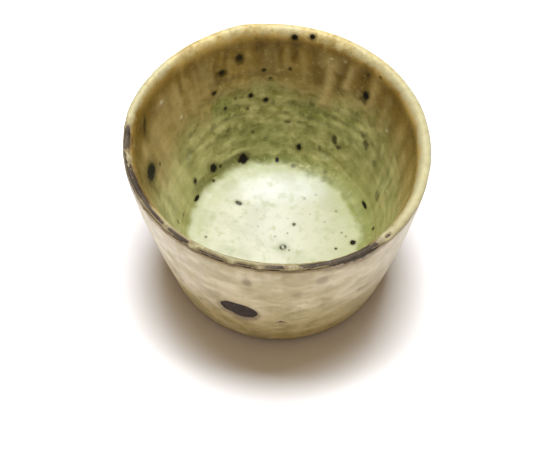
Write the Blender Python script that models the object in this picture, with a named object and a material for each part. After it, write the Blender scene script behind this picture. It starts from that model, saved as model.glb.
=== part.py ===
"""Hand-thrown stoneware dipping cup: a dark clay body with fired-on glaze.

Four solids, each its own object, all standing on the foot ring at z = 0:
    clay_body    the thrown and turned body: wall, floor and foot ring from one lump
    inner_glaze  the coat that lines the inside wall and laps over the lip
    glaze_pool   the glass that ran down the wall and set level in the bottom of the well
    outer_glaze  the coat on the outside wall, wiped off just above the foot
Between the two coats a narrow ring of bare clay shows along the outer edge of the lip.
Lengths below are in millimetres; the meshes are in metres, +Z up, centred on the throwing axis.
"""

import math

import bmesh
import bpy
from mathutils import Vector

MM = 0.001

# ---- driving dimensions, mm
LIP_R = 42.0  # outside radius at the lip
HEIGHT = 55.7  # mean height of the lip's crest
BASE_R = 32.5  # outside radius carried down to the table
BELLY = 1.0  # how far the wall bows out half way up
GLAZE = 0.5  # thickness of a glaze coat
GAP = 0.3  # clearance between a coat and the clay under it
LIP_CLAY = 1.4  # clay thickness at the lip
HEEL_CLAY = 4.3  # clay thickness where the wall meets the corner of the well
CORNER_R = 7.4  # inside corner between wall and floor
CORNER_AT = (22.6, 13.5)  # centre of that corner's arc, r and z
DISH = 0.35  # how far the floor sinks towards its middle
POOL_LEVEL = 8.5  # level top of the pooled glaze
FOOT_OUT, FOOT_IN = 31.2, 27.0  # flat ring that the cup stands on
RECESS = 2.6  # depth turned out under the floor
WIPE_LINE = 2.2  # the outer coat stops this far above the table
COAT_TOP = 53.4  # the outer coat stops here, below the lip
SEGMENTS = 64

# Hand-made unevenness of the lip: (lobes, mm, degrees), fading to nothing at the foot.
LIP_OVAL = ((2, 0.55, -74), (3, 0.34, -163), (5, 0.20, 139))
LIP_WAVE = ((1, 0.42, 180), (2, 0.46, -90), (3, 0.24, 10))


def lobes(terms, angle):
    return sum(a * math.cos(n * angle - math.radians(p)) for n, a, p in terms)


def skin_r(z):
    """Finished outside radius at height z."""
    s = z / HEIGHT
    return BASE_R + (LIP_R - BASE_R) * s + 4 * BELLY * s * (1 - s)


def clay_out(z):
    return skin_r(z) - (GLAZE + GAP)


def clay_in(z):
    """Inside face of the clay wall: thick at the heel, thin at the lip."""
    heel = CORNER_AT[1]
    t = (z - heel) / (HEIGHT - heel)
    return clay_out(z) - (HEEL_CLAY + (LIP_CLAY - HEEL_CLAY) * t)


def steps(a, b, n):
    return [a + (b - a) * i / n for i in range(n + 1)]


def outer_line(low, high, n):
    """Clay's outside wall, going up."""
    return [(clay_out(z), z) for z in steps(low, high, n)]


LIP_Z = HEIGHT - GLAZE - GAP - LIP_CLAY / 2  # centre of the rounded clay lip


def lip_line(first, last, n):
    """Rounded lip of the clay, from outside (0 degrees) over the crest to inside (180)."""
    middle = (clay_out(LIP_Z) + clay_in(LIP_Z)) / 2
    half = (clay_out(LIP_Z) - clay_in(LIP_Z)) / 2
    turns = [math.radians(a) for a in steps(first, last, n)]
    return [(middle + half * math.cos(a), LIP_Z + half * math.sin(a)) for a in turns]


# The wall runs into the corner arc where their slopes agree.
_below, _above = CORNER_AT[1] - 1.0, CORNER_AT[1] + 1.0
HEEL_TURN = -math.degrees(math.atan((clay_in(_above) - clay_in(_below)) / 2.0))


def corner_point(turn):
    a = math.radians(turn)
    return (CORNER_AT[0] + CORNER_R * math.cos(a), CORNER_AT[1] + CORNER_R * math.sin(a))


HEEL_R, HEEL_Z = corner_point(HEEL_TURN)


def inner_line(n):
    """Clay's inside wall, going down from below the lip to the heel, eased into the corner arc."""
    shift = HEEL_R - clay_in(HEEL_Z)
    found = []
    for z in steps(LIP_Z - 1.6, HEEL_Z + 2.4, n):
        fade = max(0.0, (LIP_Z - z) / (LIP_Z - HEEL_Z))
        found.append((clay_in(z) + shift * fade, z))
    return found


def corner_line(last, n):
    return [corner_point(a) for a in steps(HEEL_TURN, last, n)]


def floor_line(n):
    """Clay floor from the corner to the axis, dished a little."""
    low = CORNER_AT[1] - CORNER_R
    radii = steps(CORNER_AT[0], 0.0, n)[1:]
    return [(r, low - DISH * (1 - (r / CORNER_AT[0]) ** 2)) for r in radii]


def offset(line, by):
    """The line moved to its right by that distance, which is out of the clay."""
    moved = []
    for i, (r, z) in enumerate(line):
        a, b = line[max(i - 1, 0)], line[min(i + 1, len(line) - 1)]
        dr, dz = b[0] - a[0], b[1] - a[1]
        d = math.hypot(dr, dz)
        moved.append((r + by * dz / d, z - by * dr / d))
    return moved


def coat(line):
    """Closed section of a coat: the face against the clay, then the glazed face coming back."""
    return offset(line, GAP) + offset(line, GAP + GLAZE)[::-1]


def uneven(co):
    """Takes a point of the true turned form to the slightly oval, wavy form of the fired cup."""
    r = math.hypot(co.x, co.y)
    if r < 1e-9:
        return co
    angle = math.atan2(co.y, co.x)
    s = max(0.0, co.z / (HEIGHT * MM))
    grown = r + MM * lobes(LIP_OVAL, angle) * s**1.5 * min(1.0, r / (20 * MM))
    lifted = co.z + MM * lobes(LIP_WAVE, angle) * s**3
    return Vector((co.x * grown / r, co.y * grown / r, lifted))


def turned(name, section, closed, material):
    """One solid: a section in r and z spun round the axis, then made uneven.

    An open section starts and ends on the axis, and a closed one is a ring."""
    bm = bmesh.new()
    verts = [bm.verts.new((r * MM, 0.0, z * MM)) for r, z in section]
    pairs = list(zip(verts, verts[1:])) + ([(verts[-1], verts[0])] if closed else [])
    edges = [bm.edges.new(p) for p in pairs]
    bmesh.ops.spin(
        bm,
        geom=verts + edges,
        angle=2 * math.pi,
        steps=SEGMENTS,
        axis=(0, 0, 1),
        cent=(0, 0, 0),
        use_merge=True,
    )
    bmesh.ops.remove_doubles(bm, verts=bm.verts, dist=1e-6)
    bmesh.ops.recalc_face_normals(bm, faces=bm.faces)
    for v in bm.verts:
        v.co = uneven(v.co)
    mesh = bpy.data.meshes.new(name)
    bm.to_mesh(mesh)
    bm.free()
    mesh.shade_smooth()
    mesh.set_sharp_from_angle(angle=math.radians(40))
    mesh.materials.append(material)
    obj = bpy.data.objects.new(name, mesh)
    bpy.context.scene.collection.objects.link(obj)
    return obj


def finish(name, colour, roughness):
    """Principled surface of one colour."""
    made = bpy.data.materials.new(name)
    made.use_nodes = True
    shader = made.node_tree.nodes["Principled BSDF"]
    shader.inputs["Base Color"].default_value = (*colour, 1.0)
    shader.inputs["Roughness"].default_value = roughness
    shader.inputs["Metallic"].default_value = 0.0
    return made


def main():
    for old in list(bpy.data.objects):
        bpy.data.objects.remove(old)

    stand = bpy.data.objects.new("cup_axis", None)  # the throwing axis, at table level
    bpy.context.scene.collection.objects.link(stand)

    # clay: underside from the axis out, over the foot ring, up the wall, over the lip, down to the floor
    underside = [
        (0.0, RECESS + 0.2),
        (14.0, RECESS + 0.1),
        (FOOT_IN - 2.6, RECESS),
        (FOOT_IN - 0.9, RECESS - 1.2),
        (FOOT_IN, 0.0),
    ]
    heel = [(FOOT_OUT, 0.0), (clay_out(0.9) - 0.1, 0.9)]
    clay = (
        underside
        + heel
        + outer_line(WIPE_LINE, LIP_Z, 6)[:-1]
        + lip_line(0, 180, 5)
        + inner_line(6)
        + corner_line(-90, 5)
        + floor_line(2)
    )
    parts = [
        turned("clay_body", clay, False, finish("fired_clay", (0.075, 0.055, 0.050), 0.75)),
    ]

    # inner coat: from the outer edge of the crest, down the wall, to just above the pool
    lining = lip_line(58, 180, 4) + inner_line(6) + corner_line(HEEL_TURN - 12, 1)
    parts.append(
        turned("inner_glaze", coat(lining), True, finish("olive_glaze", (0.21, 0.19, 0.065), 0.16))
    )

    # pool: its underside follows the clay floor and corner, its top is level
    bed = corner_line(-90, 10) + floor_line(2)
    bed = [p for p in offset(bed, GAP) if p[1] < POOL_LEVEL - 0.45]
    bed[-1] = (0.0, bed[-1][1])
    edge = bed[0][0] + 0.25
    pool = [(0.0, POOL_LEVEL), (14.0, POOL_LEVEL), (edge, POOL_LEVEL)] + bed
    parts.append(
        turned("glaze_pool", pool, False, finish("pooled_glaze", (0.72, 0.74, 0.52), 0.12))
    )

    # outer coat: from the wipe line above the foot to just under the lip
    jacket = outer_line(WIPE_LINE, COAT_TOP, 6)
    parts.append(
        turned("outer_glaze", coat(jacket), True, finish("cream_glaze", (0.52, 0.44, 0.30), 0.20))
    )
    for part in parts:
        part.parent = stand


main()
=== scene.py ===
import math

import bpy
import numpy as np
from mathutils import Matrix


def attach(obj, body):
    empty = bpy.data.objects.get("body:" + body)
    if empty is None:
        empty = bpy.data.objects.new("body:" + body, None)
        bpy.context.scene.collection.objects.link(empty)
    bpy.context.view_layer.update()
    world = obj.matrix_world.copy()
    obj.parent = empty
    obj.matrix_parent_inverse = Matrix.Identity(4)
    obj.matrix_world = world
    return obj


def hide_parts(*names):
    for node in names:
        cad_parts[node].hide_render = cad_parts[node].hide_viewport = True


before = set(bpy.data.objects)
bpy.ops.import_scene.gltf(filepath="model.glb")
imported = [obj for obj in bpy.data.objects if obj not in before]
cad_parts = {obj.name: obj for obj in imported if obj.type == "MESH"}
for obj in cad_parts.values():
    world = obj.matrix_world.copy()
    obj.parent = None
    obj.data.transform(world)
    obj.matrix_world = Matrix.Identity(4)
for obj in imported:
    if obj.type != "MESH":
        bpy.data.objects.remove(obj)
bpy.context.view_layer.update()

MM = 0.001
TAU = 2 * math.pi

# ---------------------------------------------------------------- form, in millimetres
# The same turned form as the solids, with the lip's rounding and the maker's unevenness drawn finely.
LIP_R, HEIGHT, BASE_R, BELLY = 42.2, 55.9, 32.5, 1.0
SKIN = 0.8  # finished skin above the solid clay
COAT = 0.45  # thickness of the glaze where it is ordinary
CORNER_AT, CORNER_R = (22.6, 13.5), 7.4
HEEL_CLAY, LIP_CLAY = 4.3, 1.4
POOL_LEVEL = 8.5
LIP_TALL = 1.4  # height of the lip's rounding outside
LIP_ROLL = 4.0  # and inside, where it rolls over more gently
LIP_OVAL = ((2, 0.55, -74), (3, 0.34, -163), (5, 0.20, 139))
LIP_WAVE = ((1, 0.42, 180), (2, 0.46, -90), (3, 0.24, 10), (1, 0.3, 90))
LIP_PEAK = (105.0, 9.0, 0.8)  # a high spot on the lip: degrees, spread, mm
# How far the lip leans out beyond that, by degrees round the cup, mm
LEAN = ((0, 0.0), (30, 0.15), (48, 0.65), (66, 0.95), (80, 0.75), (95, 0.5), (110, 0.6), (125, 0.85), (150, 0.95), (180, 1.15), (200, 1.05), (220, 0.8), (240, 0.4), (262, 0.0), (330, 0.0), (360, 0.0))


def step(a, b, x):
    """0 at a, 1 at b, smooth between; a may be the larger."""
    t = np.clip((x - a) / (b - a), 0.0, 1.0)
    return t * t * (3 - 2 * t)


def lobes(terms, angle):
    return sum(k * np.cos(n * angle - math.radians(p)) for n, k, p in terms)


def turn(a, b):
    """Degrees from b to a, between -180 and 180."""
    return (a - b + 180.0) % 360.0 - 180.0


def skin_r(z):
    s = z / HEIGHT
    return BASE_R + (LIP_R - BASE_R) * s + 4 * BELLY * s * (1 - s)


def clay_in(z):
    t = (z - CORNER_AT[1]) / (HEIGHT - CORNER_AT[1])
    return skin_r(z) - SKIN - (HEEL_CLAY + (LIP_CLAY - HEEL_CLAY) * t)


HEEL_TURN = -math.atan((clay_in(CORNER_AT[1] + 1) - clay_in(CORNER_AT[1] - 1)) / 2)
HEEL_R = CORNER_AT[0] + CORNER_R * math.cos(HEEL_TURN)
HEEL_Z = CORNER_AT[1] + CORNER_R * math.sin(HEEL_TURN)
LIP_Z = HEIGHT - LIP_TALL


def wall_in(z):
    fade = np.maximum(0.0, (LIP_Z - z) / (LIP_Z - HEEL_Z))
    return clay_in(z) + (HEEL_R - clay_in(HEEL_Z)) * fade - SKIN


def master_path():
    """The finished skin from the outside of the foot, up, over the lip, and down to the corner of the well.

    Returns r, z and d, the distance past the crest of the lip, which is negative outside."""
    z = np.linspace(0.3, LIP_Z, 400)
    outside = np.stack([skin_r(z), z], 1)
    half = (skin_r(LIP_Z) - wall_in(LIP_Z)) / 2
    mid = skin_r(LIP_Z) - half
    a = np.linspace(0, math.pi / 2, 120)[1:]
    n = (np.cos(a) ** 2.6 + np.sin(a) ** 2.6) ** (-1 / 2.6)
    lip = np.stack([mid + half * np.cos(a) * n, LIP_Z + LIP_TALL * np.sin(a) * n], 1)
    n = (np.cos(a) ** 2.1 + np.sin(a) ** 2.1) ** (-1 / 2.1)
    z = HEIGHT - LIP_ROLL + LIP_ROLL * np.cos(a) * n
    roll = np.stack([wall_in(z) + (mid - wall_in(HEIGHT)) * (1 - np.sin(a) * n), z], 1)
    low = CORNER_AT[1] + (CORNER_R - SKIN) * math.sin(HEEL_TURN)
    z = np.linspace(HEIGHT - LIP_ROLL, low, 400)[1:]
    inside = np.stack([wall_in(z), z], 1)
    c = np.linspace(HEEL_TURN, -math.pi / 2, 120)[1:]
    corner = np.stack([CORNER_AT[0] + (CORNER_R - SKIN) * np.cos(c), CORNER_AT[1] + (CORNER_R - SKIN) * np.sin(c)], 1)
    line = np.concatenate([outside, lip, roll, inside, corner])
    s = np.concatenate([[0], np.cumsum(np.hypot(*np.diff(line, axis=0).T))])
    crest = s[np.argmax(line[:, 1])]
    return line[:, 0], line[:, 1], s - crest


PATH_R, PATH_Z, PATH_D = master_path()


def at_depth(d):
    """r, z and outward normal of the skin at distances d past the crest."""
    r, z = np.interp(d, PATH_D, PATH_R), np.interp(d, PATH_D, PATH_Z)
    e = 0.15
    dr = np.interp(d + e, PATH_D, PATH_R) - np.interp(d - e, PATH_D, PATH_R)
    dz = np.interp(d + e, PATH_D, PATH_Z) - np.interp(d - e, PATH_D, PATH_Z)
    n = np.hypot(dr, dz)
    return r, z, dz / n, -dr / n


def rounded(rows, spread=8.0):
    """A table by degrees as 360 values, smoothed round the circle."""
    at, value = zip(*rows)
    raw = np.interp(np.arange(360.0), at, value)
    k = np.exp(-0.5 * (turn(np.arange(360.0), 0.0) / spread) ** 2)
    return np.real(np.fft.ifft(np.fft.fft(raw) * np.fft.fft(k / k.sum())))


LEAN_BY_DEGREE = rounded(LEAN)


def place(r, z, angle):
    """Points of the turned form as points of the fired, slightly oval cup, in metres."""
    s = np.maximum(0.0, z / HEIGHT)
    lean = np.interp(np.mod(np.degrees(angle), 360.0), np.arange(360.0), LEAN_BY_DEGREE, period=360.0)
    peak = LIP_PEAK[2] * np.exp(-((turn(np.degrees(angle), LIP_PEAK[0]) / LIP_PEAK[1]) ** 2))
    grown = r + (lobes(LIP_OVAL, angle) + lean) * s**1.5 * np.minimum(1.0, r / 20.0)
    lifted = z + lobes(LIP_WAVE, angle) * s**3 + peak * s**14
    return np.stack([grown * np.cos(angle), grown * np.sin(angle), lifted], -1) * MM


# ---------------------------------------------------------------- noise


def noise(p, seed):
    """Gradient noise, about -1 to 1, at the points p."""
    rng = np.random.default_rng(seed)
    perm = rng.permutation(256)
    grad = rng.normal(size=(256, 3))
    grad /= np.linalg.norm(grad, axis=1)[:, None]
    cell = np.floor(p).astype(int)
    f = p - cell
    w = f * f * f * (f * (f * 6 - 15) + 10)
    total = np.zeros(p.shape[:-1])
    for corner in ((i, j, k) for i in (0, 1) for j in (0, 1) for k in (0, 1)):
        c = cell + corner
        h = perm[(perm[(perm[c[..., 0] & 255] + c[..., 1]) & 255] + c[..., 2]) & 255]
        dot = ((f - corner) * grad[h]).sum(-1)
        side = np.where(np.array(corner) == 1, w, 1 - w).prod(-1)
        total += dot * side
    return total * 1.7


def field(angle, d, across, down, seed, octaves=3, rough=0.5, radius=38.0):
    """Layered noise on the wall, with features of that many mm round the cup and down it."""
    total, size, weight = 0.0, 1.0, 0.0
    for o in range(octaves):
        k = radius / across * 2**o
        p = np.stack([k * np.cos(angle), k * np.sin(angle), d / down * 2**o], -1)
        total = total + size * noise(p + 17.3 * o, seed + o)
        weight += size
        size *= rough
    return total / weight**0.7


def flat_field(x, y, span, seed, octaves=3, rough=0.5):
    total, size, weight = 0.0, 1.0, 0.0
    for o in range(octaves):
        p = np.stack([x / span * 2**o, y / span * 2**o, np.full_like(x, 0.37 + o)], -1)
        total = total + size * noise(p, seed + o)
        weight += size
        size *= rough
    return total / weight**0.7


# ---------------------------------------------------------------- meshes


def sheet(name, points, marks, close=False):
    """A mesh from a grid of points, rows down and columns round, closed round the cup.

    marks are named numbers at the points. close adds a point in the middle of the first and last rows."""
    rows, cols = points.shape[:2]
    verts = points.reshape(-1, 3)
    ends = (0, -1) if close else ()
    verts = np.concatenate([verts] + [points[e].mean(0)[None] for e in ends])
    i = np.arange(rows - 1)[:, None] * cols
    j = np.arange(cols)[None, :]
    k = (j + 1) % cols
    quads = np.stack([i + j, i + k, i + cols + k, i + cols + j], -1).reshape(-1, 4)
    mesh = bpy.data.meshes.new(name)
    mesh.vertices.add(len(verts))
    mesh.vertices.foreach_set("co", verts.astype(np.float32).ravel())
    j, k, last = np.arange(cols), (np.arange(cols) + 1) % cols, (rows - 1) * cols
    fans = [np.stack([0 * j + rows * cols, k, j], -1), np.stack([0 * j + rows * cols + 1, last + j, last + k], -1)] if close else []
    fans = np.concatenate([np.zeros((0, 3), dtype=int)] + fans)
    mesh.loops.add(quads.size + fans.size)
    mesh.loops.foreach_set("vertex_index", np.concatenate([quads.ravel(), fans.ravel()]).astype(np.int32))
    mesh.polygons.add(len(quads) + len(fans))
    starts = np.concatenate([np.arange(0, quads.size, 4), quads.size + np.arange(0, fans.size, 3)])
    mesh.polygons.foreach_set("loop_start", starts.astype(np.int32))
    mesh.update(calc_edges=True)
    # flat layout of the same grid, kept for baking
    j = j[None, :]
    u = np.stack([j + 0 * i, j + 1 + 0 * i, j + 1 + 0 * i, j + 0 * i], -1).reshape(-1) / cols
    v = np.stack([i // cols + 0 * j, i // cols + 0 * j, i // cols + 1 + 0 * j, i // cols + 1 + 0 * j], -1)
    v = 1.0 - v.reshape(-1) / (rows - 1)
    if close:
        j = j[0]
        u = np.concatenate([u, np.stack([j + 0.5, j + 1, j], -1).ravel() / cols, np.stack([j + 0.5, j, j + 1], -1).ravel() / cols])
        v = np.concatenate([v, np.ones(3 * cols), np.zeros(3 * cols)])
    layout = mesh.uv_layers.new(name="OFBake")
    layout.data.foreach_set("uv", np.stack([u * 0.998 + 0.001, v * 0.998 + 0.001], -1).astype(np.float32).ravel())
    for key, values in marks.items():
        a = mesh.attributes.new(key, "FLOAT", "POINT")
        values = np.asarray(values, dtype=np.float32)
        a.data.foreach_set("value", np.append(values.ravel(), [values[e].mean() for e in ends]).astype(np.float32))
    mesh.shade_smooth()
    mesh.validate()
    obj = bpy.data.objects.new(name, mesh)
    bpy.context.scene.collection.objects.link(obj)
    return obj


def disc(name, points, centre, marks, centre_marks):
    """A round sheet: rows from the rim inwards, closed by one point in the middle."""
    rows, cols = points.shape[:2]
    verts = np.concatenate([points.reshape(-1, 3), centre[None]])
    faces = []
    for i in range(rows - 1):
        a = i * cols + np.arange(cols)
        b = i * cols + (np.arange(cols) + 1) % cols
        faces += np.stack([a, b, b + cols, a + cols], -1).tolist()
    last = (rows - 1) * cols
    faces += [[last + j, last + (j + 1) % cols, rows * cols] for j in range(cols)]
    mesh = bpy.data.meshes.new(name)
    mesh.from_pydata(verts.tolist(), [], faces)
    flat = verts[:, :2] / (2.1 * np.abs(verts[:, :2]).max()) + 0.5
    index = np.empty(len(mesh.loops), dtype=np.int32)
    mesh.loops.foreach_get("vertex_index", index)
    mesh.uv_layers.new(name="OFBake").data.foreach_set("uv", flat[index].astype(np.float32).ravel())
    for key, values in marks.items():
        a = mesh.attributes.new(key, "FLOAT", "POINT")
        a.data.foreach_set("value", np.append(np.asarray(values).ravel(), centre_marks.get(key, 0.0)).astype(np.float32))
    mesh.shade_smooth()
    mesh.update()
    obj = bpy.data.objects.new(name, mesh)
    bpy.context.scene.collection.objects.link(obj)
    return obj


# ---------------------------------------------------------------- marks left by hand and fire

# Bare clay along the lip: degrees, half length in degrees, mm past the crest (outside is negative), half width in mm
LIP_BARE = (
    (179.0, 6.5, -0.2, 3.0),
    (190.0, 17.0, -1.7, 1.7),
    (201.7, 12.0, 0.2, 3.3),
    (215.5, 8.0, -0.9, 1.8),
    (229.0, 7.0, -0.7, 1.5),
    (245.0, 6.5, -1.2, 1.1),
    (257.5, 3.6, -1.3, 0.9),
    (268.5, 4.2, -0.8, 1.5),
    (285.5, 9.5, -0.2, 2.2),
    (293.5, 8.5, -0.2, 3.2),
    (301.0, 8.0, -0.3, 3.7),
    (313.0, 1.3, -0.5, 0.75),
    (246.0, 62.0, -2.3, 0.36),
    (150.0, 28.0, -2.5, 0.8),
    (72.0, 12.0, -2.4, 0.7),
    (30.0, 7.0, -2.5, 0.5),
    (345.0, 6.0, -2.6, 0.5),
)

# Iron specks inside the wall: degrees, mm past the crest, radius in mm, darkness, stretch down the wall
WALL_SPECKS = (
    (83.7, 2.7, 0.95, 1.0, 1.0), (76.1, 1.6, 0.8, 1.0, 1.0), (108.2, 9.2, 1.05, 0.85, 1.2), (117.1, 12.7, 1.0, 0.9, 1.0),
    (97.4, 15.0, 0.65, 0.85, 1.0), (85.2, 14.5, 0.5, 0.7, 1.3), (94.2, 18.2, 0.6, 0.6, 0.8), (122.8, 18.6, 0.8, 0.9, 0.9),
    (104.5, 23.8, 0.8, 1.0, 1.0), (97.0, 26.1, 0.8, 1.0, 1.1), (118.4, 25.8, 0.6, 0.9, 1.0), (112.4, 23.5, 0.5, 0.45, 1.0),
    (106.7, 28.4, 0.55, 0.6, 1.0), (46.3, 13.9, 1.1, 1.0, 1.5), (47.8, 6.3, 0.5, 0.6, 1.5), (41.0, 3.6, 0.5, 0.6, 1.0),
    (85.3, 34.6, 0.8, 0.45, 0.5), (105.2, 37.6, 0.5, 0.6, 1.0), (119.5, 34.2, 0.5, 0.45, 1.0), (78.1, 43.8, 0.95, 1.0, 1.3),
    (113.3, 46.6, 1.9, 1.0, 1.0), (91.5, 49.0, 0.7, 1.0, 1.3), (133.8, 44.5, 1.6, 1.0, 1.1), (149.4, 43.0, 0.9, 0.9, 1.2),
    (154.9, 47.8, 1.4, 1.0, 0.5), (171.5, 45.2, 0.6, 0.5, 1.2), (180.3, 42.2, 0.6, 0.6, 1.4), (137.5, 48.3, 0.55, 0.8, 1.0),
    (167.9, 22.9, 0.5, 0.8, 1.3), (20.5, 47.9, 1.7, 1.0, 0.36), (1.2, 46.9, 0.55, 0.9, 1.5), (129.0, 45.6, 0.6, 0.8, 1.0),
    (300.0, 21.0, 0.7, 0.9, 1.2), (262.0, 12.0, 0.55, 0.8, 1.0), (236.0, 30.0, 0.8, 0.9, 1.2), (283.0, 38.0, 0.9, 1.0, 1.0),
    (330.0, 33.0, 0.7, 0.8, 1.3), (318.0, 9.0, 0.6, 0.8, 1.6), (215.0, 19.0, 0.65, 0.85, 1.2), (247.0, 41.0, 0.6, 0.9, 1.0),
)

# Long iron marks on the wall: degrees, mm past the crest, two half axes in mm (each round the wall, then down it), darkness
WALL_MARKS = ((177.8, 18.4, (3.3, 0.3), (-1.95, 3.05), 1.0), (165.6, 7.5, (1.5, 1.8), (-0.5, 0.7), 0.62))
# Dark green stains in the glaze: degrees, mm past the crest, radius in mm, strength
STAINS = (
    (57.2, 36.6, 1.7, 0.9), (54.0, 38.6, 0.9, 0.8), (38.3, 30.0, 1.5, 0.8), (41.5, 28.6, 0.9, 0.6), (28.0, 33.0, 1.3, 0.5), (66.0, 41.5, 1.2, 0.5),
    (73.0, 26.5, 1.0, 0.5), (85.3, 34.6, 1.4, 0.5), (108.2, 10.4, 1.9, 0.55), (117.3, 13.6, 1.8, 0.5), (46.8, 15.2, 1.9, 0.6), (83.5, 4.2, 1.8, 0.6),
    (127.0, 30.0, 1.2, 0.4), (141.0, 28.0, 1.3, 0.4), (15.0, 40.0, 1.4, 0.5), (98.0, 41.0, 1.2, 0.4), (230.0, 24.0, 1.6, 0.6), (265.0, 36.0, 1.5, 0.6), (305.0, 28.0, 1.4, 0.6),
)

# Specks in the pool: x, y and radius in mm, darkness
POOL_SPECKS = (
    (4.3, 25.3, 0.85, 0.5), (14.3, 22.7, 0.7, 0.3), (22.4, -3.05, 0.95, 1.0), (17.2, -4.85, 0.45, 0.9), (17.5, 8.65, 0.55, 0.35),
    (-12.9, 11.95, 0.75, 0.85), (-12.1, 11.55, 0.75, 0.85), (4.6, 4.45, 0.6, 0.8), (3.1, -4.95, 0.3, 0.8), (-1.2, 0.05, 0.35, 0.4),
    (-22.2, -1.15, 0.45, 0.6), (9.0, -13.55, 0.6, 0.8), (-9.0, -18.55, 0.8, 0.9), (-16.0, -8.55, 0.45, 0.6), (2.6, 1.25, 0.3, 0.5),
    (7.9, 13.7, 0.45, 0.35), (11.4, 14.8, 0.4, 0.3), (19.1, 0.8, 0.4, 0.45), (14.0, 5.0, 0.35, 0.3), (20.3, -0.6, 0.35, 0.45), (9.5, 8.0, 0.3, 0.3), (-6.5, 3.5, 0.3, 0.25),
)
POOL_BUBBLE = (1.2, -3.85, 0.95)  # a burst bubble in the pool: x, y, radius

# Pale runs of glaze down the inside: degrees, start and end in mm past the crest, half width in mm, strength
RUNS = (
    (95.0, 5.0, 16.0, 1.8, 0.35), (67.3, 4.0, 26.0, 1.5, 1.0), (65.5, 4.0, 12.0, 2.8, 0.8), (57.0, 5.0, 17.0, 1.1, 0.8),
    (43.7, 4.0, 19.0, 1.4, 0.65), (126.0, 5.0, 19.0, 2.2, 0.5), (33.0, 6.0, 22.0, 1.3, 0.35), (19.0, 10.0, 32.0, 1.4, 0.45),
    (8.0, 14.0, 40.0, 1.6, 0.55), (151.0, 6.0, 18.0, 3.0, 0.5), (160.0, 12.0, 26.0, 2.4, 0.5), (173.0, 10.0, 32.0, 1.8, 0.45),
    (143.0, 12.0, 23.0, 2.2, 0.4), (199.0, 5.0, 24.0, 1.6, 0.5), (221.0, 4.0, 27.0, 1.8, 0.6), (244.0, 6.0, 20.0, 1.4, 0.5),
    (262.0, 5.0, 24.0, 1.8, 0.6), (279.0, 7.0, 19.0, 1.3, 0.5), (297.0, 5.0, 28.0, 1.6, 0.6), (322.0, 6.0, 22.0, 1.5, 0.5),
    (341.0, 7.0, 27.0, 1.7, 0.5), (353.0, 10.0, 34.0, 1.3, 0.5), (148.5, 6.0, 20.0, 0.8, 0.5), (141.5, 6.0, 22.0, 0.8, 0.55),
    (135.5, 6.0, 22.5, 0.9, 0.5), (131.2, 6.0, 20.0, 0.7, 0.5), (121.5, 6.0, 18.0, 0.8, 0.42), (113.6, 7.0, 17.0, 0.7, 0.3), (103.6, 6.0, 16.0, 0.7, 0.32), (92.3, 5.0, 17.0, 0.8, 0.4), (87.6, 6.0, 15.0, 0.7, 0.35), (79.6, 6.0, 19.0, 0.9, 0.4),
)
# Dark iron streaks: the same
STREAKS = (
    (147.0, 4.0, 15.0, 1.0, 0.7), (157.5, 2.5, 11.0, 2.4, 0.8), (168.0, 3.0, 14.0, 1.5, 0.8), (179.0, 2.5, 12.0, 2.2, 0.7),
    (83.3, 2.0, 12.0, 1.5, 0.9), (90.0, 2.5, 9.0, 1.0, 0.6), (100.5, 2.5, 8.5, 0.9, 0.6), (129.6, 4.0, 12.0, 0.6, 0.9), (139.0, 2.5, 12.5, 0.65, 0.9), (110.0, 3.0, 8.0, 1.6, 0.4),
    (72.0, 3.0, 19.0, 2.2, 0.8), (61.5, 4.0, 20.0, 1.8, 0.9), (51.0, 4.0, 17.0, 2.0, 0.85), (37.5, 3.0, 15.0, 2.2, 0.6),
    (25.0, 3.0, 17.0, 2.2, 0.7), (13.0, 3.0, 22.0, 2.0, 0.6), (2.0, 3.0, 24.0, 1.7, 0.6), (210.0, 4.0, 17.0, 1.4, 0.6),
    (253.0, 3.0, 14.0, 1.5, 0.6), (289.0, 4.0, 16.0, 1.6, 0.7), (310.0, 3.0, 15.0, 1.8, 0.6), (333.0, 3.0, 18.0, 1.7, 0.6),
    (162.5, 12.0, 26.0, 2.0, 0.5), (171.0, 13.0, 31.0, 2.0, 0.55), (184.0, 9.0, 27.0, 2.2, 0.5), (192.0, 6.0, 24.0, 2.2, 0.5), (8.0, 4.0, 23.0, 6.0, 0.3), (24.0, 4.0, 20.0, 6.0, 0.3),
)


# Small blisters in the glaze: degrees, mm past the crest, radius in mm
BLISTERS = ((151.2, 8.7, 0.85), (143.2, 19.2, 0.75), (60.1, 6.6, 0.6), (28.3, 18.6, 0.6), (66.4, 7.5, 0.55), (9.0, 33.0, 0.6), (205.0, 13.0, 0.7), (271.0, 24.0, 0.7), (326.0, 15.0, 0.6))
# Pale scars where the glaze crawled: the same
SCARS = ((61.5, 44.6, 1.9), (147.0, 34.0, 1.5), (240.0, 34.0, 2.0), (310.0, 41.0, 1.8))

# Where the brown upper glaze gives way to olive: degrees, mm past the crest
TIDE = ((0, 20.0), (12, 18.0), (30, 17.0), (46, 18.5), (56, 18.5), (62, 20.5), (68, 23.0), (76, 22.8), (84, 22.2), (90, 21.0), (97, 20.4), (105, 19.8), (112, 20.2), (118, 21.2), (123, 22.4), (131, 22.5), (140, 23.5), (150, 26.0), (162, 27.5), (175, 26.0), (200, 19.0), (225, 20.0), (250, 17.0), (280, 19.0), (310, 17.5), (340, 20.5), (360, 20.0))
# Edge of the pale glass in the bottom of the well: degrees, mm from the axis
SHORE = ((0, 24.4), (4, 24.4), (15, 24.4), (24, 23.2), (39, 24.2), (53, 24.6), (65, 23.9), (78, 24.8), (91, 26.1), (103, 27.0), (113, 28.0), (123, 27.8), (135, 27.3), (145, 27.7), (156, 27.5), (167, 27.3), (176, 27.5), (205, 26.6), (230, 25.8), (255, 26.6), (280, 25.8), (305, 26.2), (330, 25.0), (354, 24.4), (360, 24.8))


def table(rows, deg):
    at, value = zip(*rows)
    return np.interp(np.mod(deg, 360.0), at, value)


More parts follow.
